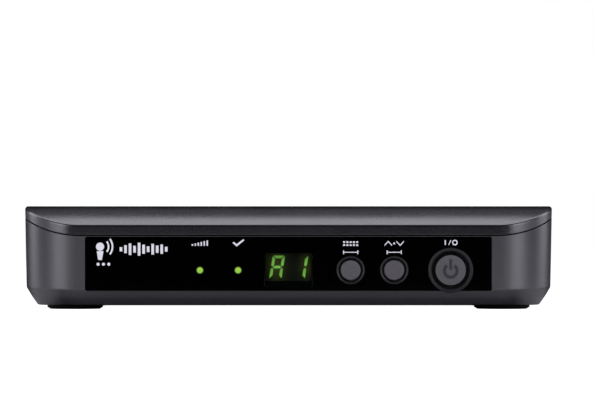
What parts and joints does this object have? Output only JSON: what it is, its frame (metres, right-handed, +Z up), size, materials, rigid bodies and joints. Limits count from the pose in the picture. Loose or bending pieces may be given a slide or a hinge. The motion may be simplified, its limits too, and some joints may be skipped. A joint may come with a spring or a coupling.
{
  "type": "wireless microphone receiver",
  "caption": "Low tabletop radio receiver box with rounded corners, brow-curved cover, gloss front panel, digital display, status lamps, push buttons and rear audio sockets.",
  "frame": {"origin": "centre of the footprint, on the plane the feet rest on", "axes": "+Z up, front panel faces -Y, +X to the right seen from the front"},
  "size_m": [0.188, 0.1031, 0.0365],
  "materials": {
    "case_plastic": "fine-textured charcoal moulding, satin",
    "gloss_black": "polished black",
    "ink_white": "screen-printed ink",
    "smoked_window": "smoked transparent filter",
    "light_pipe": "clear diffusing plastic, lit green",
    "led_green": "tinted epoxy",
    "display_body": "matt black",
    "segment_on": "lit segment",
    "segment_off": "unlit segment",
    "key_plastic": "satin grey cap",
    "ring_plastic": "semi-gloss black ring",
    "icon_dark": "filled recess, dark",
    "switch_ivory": "natural nylon",
    "switch_black": "black nylon",
    "sheet_steel": "tin-plated sheet",
    "spring_steel": "stainless dome",
    "board_green": "solder-masked glass-epoxy laminate",
    "screw_steel": "zinc-plated",
    "ribbon_grey": "flat cable",
    "connector_white": "natural nylon",
    "chip_black": "moulded epoxy",
    "can_metal": "nickel-plated can",
    "smd_tan": "ceramic chip body",
    "heatsink_alu": "extruded, plain",
    "capacitor_sleeve": "printed-film sleeve, dark blue",
    "ferrite": "ferrite",
    "copper_trace": "bare copper",
    "coax_jacket": "thin coax jacket",
    "gold_contact": "gold-plated",
    "nylon_black": "glass-filled nylon",
    "silver_contact": "silver-plated",
    "nickel": "nickel-plated",
    "pot_body": "phenolic",
    "steel_shaft": "turned",
    "knob_black": "moulded, fine ribs",
    "brass_insert": "knurled",
    "rubber_black": "matt",
    "label_silver": "blank metallised film"
  },
  "bodies": {
    "case": {"lower_housing": "case_plastic", "top_cover": "case_plastic", "front_fascia": "gloss_black", "panel_icons": "ink_white", "display_window": "smoked_window", "led_light_pipes": "light_pipe", "status_leds": "led_green", "display_module": "display_body", "display_segments_lit": "segment_on", "display_segments_unlit": "segment_off", "display_pins": "silver_contact", "group_bezel": "ring_plastic", "channel_bezel": "ring_plastic", "power_bezel": "ring_plastic", "switch_bodies": "switch_black", "switch_covers": "sheet_steel", "switch_domes": "spring_steel", "front_board": "board_green", "front_board_screws": "screw_steel", "main_board": "board_green", "main_board_screws": "screw_steel", "ribbon_cable": "ribbon_grey", "ribbon_connectors": "connector_white", "tuner_shield": "sheet_steel", "tuner_chips": "chip_black", "microcontroller": "chip_black", "crystal": "can_metal", "audio_chips": "chip_black", "surface_mount_parts": "smd_tan", "voltage_regulator": "chip_black", "regulator_heatsink": "heatsink_alu", "filter_capacitors": "capacitor_sleeve", "power_choke": "ferrite", "antenna_boards": "board_green", "antenna_traces": "copper_trace", "antenna_cables": "coax_jacket", "coax_connectors": "gold_contact", "xlr_shell": "nylon_black", "xlr_insert": "nylon_black", "xlr_pins": "silver_contact", "jack_body": "nylon_black", "jack_ferrule": "nickel", "jack_nut": "nickel", "jack_contacts": "silver_contact", "dc_jack_body": "nylon_black", "dc_jack_contacts": "silver_contact", "volume_pot_body": "pot_body", "case_screws": "screw_steel", "threaded_inserts": "brass_insert", "rubber_feet": "rubber_black", "rating_label": "label_silver"},
    "group_key": {"group_button": "key_plastic", "group_switch_plunger": "switch_ivory"},
    "channel_key": {"channel_button": "key_plastic", "channel_switch_plunger": "switch_ivory"},
    "power_key": {"power_button": "key_plastic", "power_icon": "icon_dark", "power_switch_plunger": "switch_ivory"},
    "volume_rotor": {"volume_knob": "knob_black", "volume_pot_shaft": "steel_shaft"}
  },
  "joints": [
    {"name": "group_press", "type": "slide", "parent": "case", "child": "group_key", "axis": [0, 1, 0], "range_m": [0, 0.0005], "stiffness_N_per_m": 20, "springref_m": -0.0002, "deforming": ["switch_domes"]},
    {"name": "channel_press", "type": "slide", "parent": "case", "child": "channel_key", "axis": [0, 1, 0], "range_m": [0, 0.0005], "stiffness_N_per_m": 20, "springref_m": -0.0002, "deforming": ["switch_domes"]},
    {"name": "power_press", "type": "slide", "parent": "case", "child": "power_key", "axis": [0, 1, 0], "range_m": [0, 0.0006], "stiffness_N_per_m": 20, "springref_m": -0.0002, "deforming": ["switch_domes"]},
    {"name": "volume_turn", "type": "hinge", "parent": "case", "child": "volume_rotor", "pos_m": [0.008, 0.0464, 0.014], "axis": [0, 1, 0], "range_deg": [-140, 140]}
  ]
}
